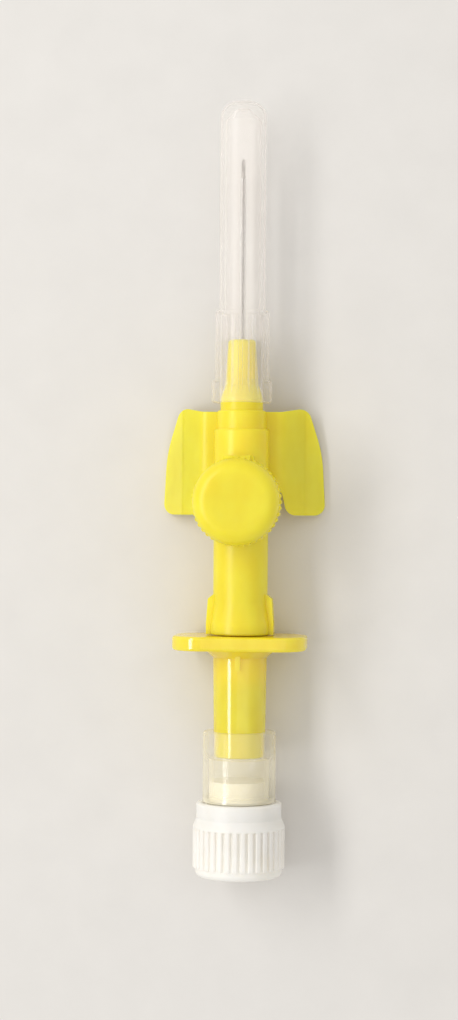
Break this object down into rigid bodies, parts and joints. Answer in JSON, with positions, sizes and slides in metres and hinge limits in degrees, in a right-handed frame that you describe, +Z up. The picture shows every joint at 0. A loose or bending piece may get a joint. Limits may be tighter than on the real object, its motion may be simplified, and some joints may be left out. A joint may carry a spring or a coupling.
{
  "type": "iv cannula",
  "caption": "Winged intravenous cannula with an injection port, its needle, thumb plate, clear flash chamber, ribbed luer plug and long needle cover.",
  "frame": {"origin": "on the ground plane, under the middle of the whole length and width", "axes": "+Y along the needle towards its point, +Z up through the injection port, +X across the wings"},
  "size_m": [0.0192, 0.091, 0.0146],
  "materials": {
    "yellow_plastic": "gloss",
    "natural_plastic": "translucent satin",
    "clear_plastic": "clear gloss",
    "white_plastic": "satin",
    "catheter_plastic": "translucent",
    "silicone": "matt",
    "porous_plastic": "matt",
    "steel": "polished"
  },
  "bodies": {
    "catheter": {"catheter_hub": "yellow_plastic", "catheter_bushing": "steel", "catheter_tube": "catheter_plastic", "valve_sleeve": "silicone", "port_cap_ring": "yellow_plastic"},
    "cover": {"needle_cover": "natural_plastic"},
    "cap": {"port_cap": "yellow_plastic"},
    "needle_unit": {"needle": "steel", "needle_hub": "yellow_plastic", "flash_chamber": "clear_plastic", "vent_filter": "porous_plastic"},
    "plug": {"luer_plug": "white_plastic"}
  },
  "joints": [
    {"name": "cover_pull", "type": "slide", "parent": "catheter", "child": "cover", "axis": [0, 1, 0], "range_m": [0, 0.04]},
    {"name": "cap_hinge", "type": "hinge", "parent": "catheter", "child": "cap", "pos_m": [0, 0.0038, 0.01], "axis": [-1, 0, 0], "range_deg": [0, 110]},
    {"name": "needle_withdrawal", "type": "slide", "parent": "catheter", "child": "needle_unit", "axis": [0, -1, 0], "range_m": [0, 0.06]},
    {"name": "plug_pull", "type": "slide", "parent": "needle_unit", "child": "plug", "axis": [0, -1, 0], "range_m": [0, 0.01]}
  ]
}
